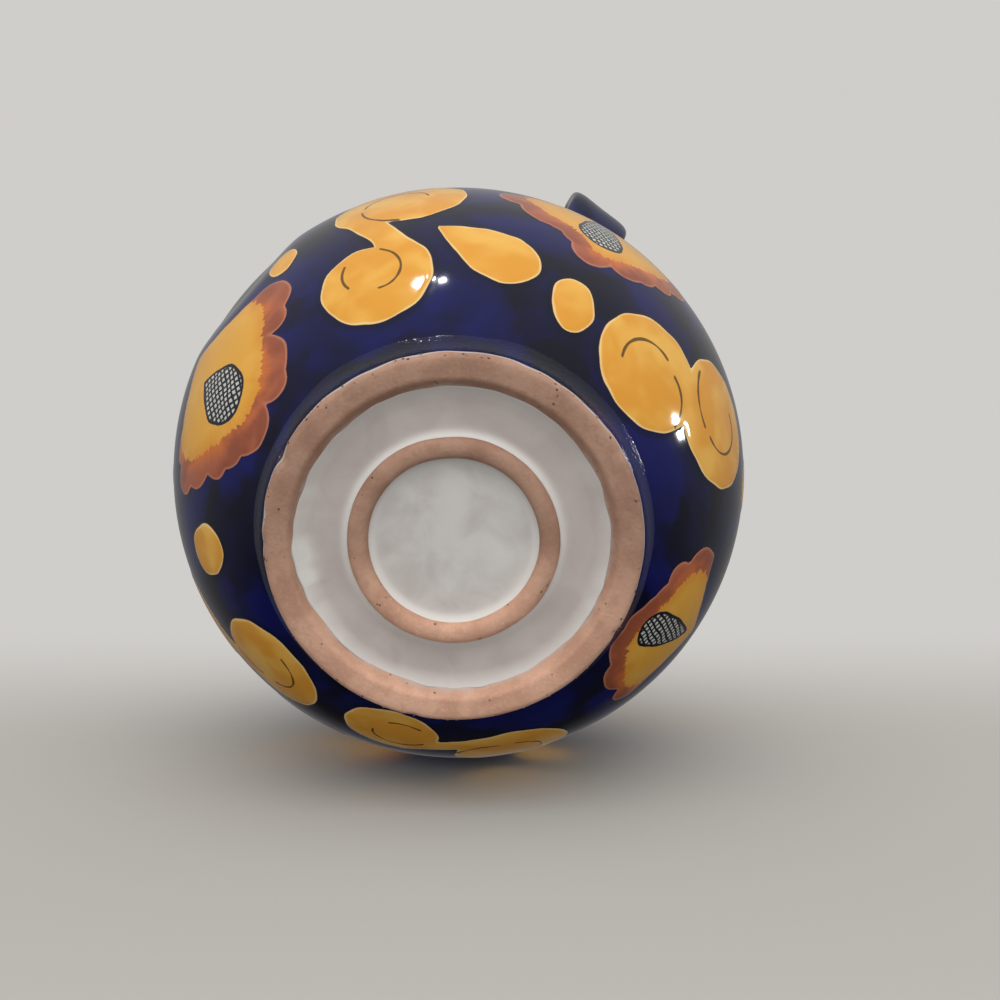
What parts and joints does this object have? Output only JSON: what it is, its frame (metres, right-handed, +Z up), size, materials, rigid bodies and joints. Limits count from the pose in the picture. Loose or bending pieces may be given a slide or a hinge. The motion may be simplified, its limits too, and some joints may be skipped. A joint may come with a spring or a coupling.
{
  "type": "earthenware olla",
  "caption": "Round earthenware jar on a ringed foot, with a short flared neck, a rolled lip and strap handles, glazed blue with painted flowers and scrolls and white inside.",
  "frame": {"origin": "centre of the foot ring's standing face, on the jar's axis", "axes": "+Z up along the jar's axis towards the mouth, X through the handles, Y across them"},
  "size_m": [0.225, 0.21, 0.2076],
  "materials": {
    "cobalt_glaze": "fired cobalt-blue glaze on earthenware, glossy, with painted yellow flowers and scrolls",
    "terracotta": "bare fired earthenware, matt and slightly gritty",
    "white_glaze": "fired white tin glaze, satin gloss"
  },
  "bodies": {
    "root": {"lower_bowl": "cobalt_glaze", "shoulder_dome": "cobalt_glaze", "neck_collar": "cobalt_glaze", "rim_lip": "cobalt_glaze", "foot_ring": "terracotta", "inner_foot_ring": "terracotta", "handle_right": "cobalt_glaze", "handle_left": "cobalt_glaze", "inner_glaze": "white_glaze", "base_glaze_ring": "white_glaze", "base_glaze_disc": "white_glaze"}
  },
  "joints": []
}
